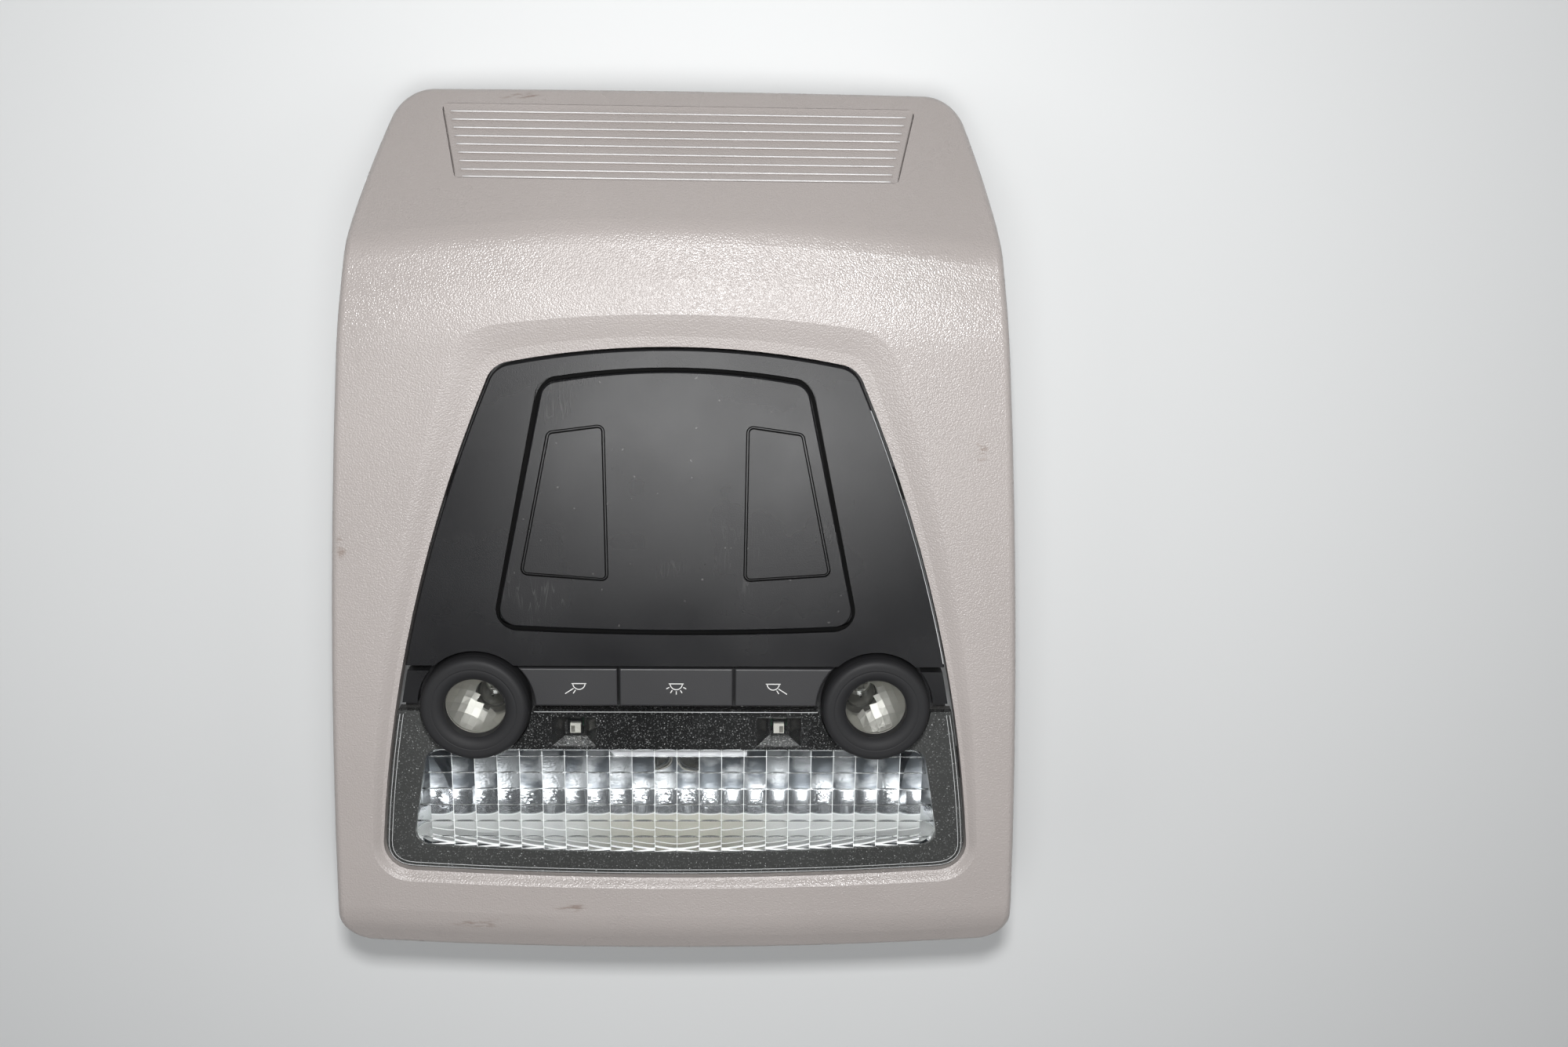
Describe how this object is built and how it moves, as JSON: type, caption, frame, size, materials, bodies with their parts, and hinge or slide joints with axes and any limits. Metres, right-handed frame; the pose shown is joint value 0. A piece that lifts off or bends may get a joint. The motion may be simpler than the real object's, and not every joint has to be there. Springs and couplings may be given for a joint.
{
  "type": "car interior light",
  "caption": "Overhead car interior light: grey louvred trim cover, black lamp unit with push keys, round reading lights and a wide fluted lens.",
  "frame": {"origin": "centre of the overall footprint, on the flat back of the rear lid", "axes": "+Z the way the light shines (down in a car), +Y towards the louvred brow (the car's front), +X to the right when looking at the lit face with the brow up"},
  "size_m": [0.1984, 0.248, 0.0557],
  "materials": {
    "trim_grey": "warm light grey, fine moulded grain",
    "black_matte": "matte black with fine scratches",
    "black_key": "satin black",
    "black_frame": "plain black",
    "clear": "clear moulded plastic",
    "dark_grain": "black, coarse glittering grain",
    "bright": "metallised plastic",
    "bulb_glass": "clear glass",
    "holder_grey": "plain light plastic",
    "led_body": "pale light guide",
    "board_green": "green circuit board",
    "silicone": "soft grey silicone",
    "socket_dark": "plain black plastic",
    "tin": "tinned contacts",
    "steel": "plated steel"
  },
  "bodies": {
    "console": {"trim_cover": "trim_grey", "face_plate": "black_matte", "blanking_cover": "black_matte", "end_block_left": "black_matte", "end_block_right": "black_matte", "reading_bezel_left": "black_matte", "reading_bezel_right": "black_matte", "switch_frame": "black_frame", "carrier": "black_frame", "rear_lid": "black_frame", "lens": "clear", "reading_lens_left": "clear", "reading_lens_right": "clear", "lens_mask": "dark_grain", "funnel_bar": "dark_grain", "reading_reflector_left": "bright", "reading_reflector_right": "bright", "main_reflector": "bright", "reading_bulb_left": "bulb_glass", "reading_bulb_right": "bulb_glass", "main_bulb": "bulb_glass", "reading_holder_left": "holder_grey", "reading_holder_right": "holder_grey", "main_holder": "holder_grey", "ambient_led_left": "led_body", "ambient_led_right": "led_body", "circuit_board": "board_green", "switch_mat": "silicone", "snap_dome_left": "silicone", "snap_dome_centre": "silicone", "snap_dome_right": "silicone", "wiring_socket": "socket_dark", "socket_pins": "tin", "lid_screws": "steel", "cover_screws": "steel", "board_screws": "steel", "spring_clips": "steel"},
    "key_left": {"button_left": "black_key"},
    "key_centre": {"button_centre": "black_key"},
    "key_right": {"button_right": "black_key"}
  },
  "joints": [
    {"name": "press_left", "type": "slide", "parent": "console", "child": "key_left", "axis": [0, 0, -1], "range_m": [0, 0.0012], "stiffness_N_per_m": 1500, "deforming": ["snap_dome_left"]},
    {"name": "press_centre", "type": "slide", "parent": "console", "child": "key_centre", "axis": [0, 0, -1], "range_m": [0, 0.0012], "stiffness_N_per_m": 1500, "deforming": ["snap_dome_centre"]},
    {"name": "press_right", "type": "slide", "parent": "console", "child": "key_right", "axis": [0, 0, -1], "range_m": [0, 0.0012], "stiffness_N_per_m": 1500, "deforming": ["snap_dome_right"]}
  ]
}
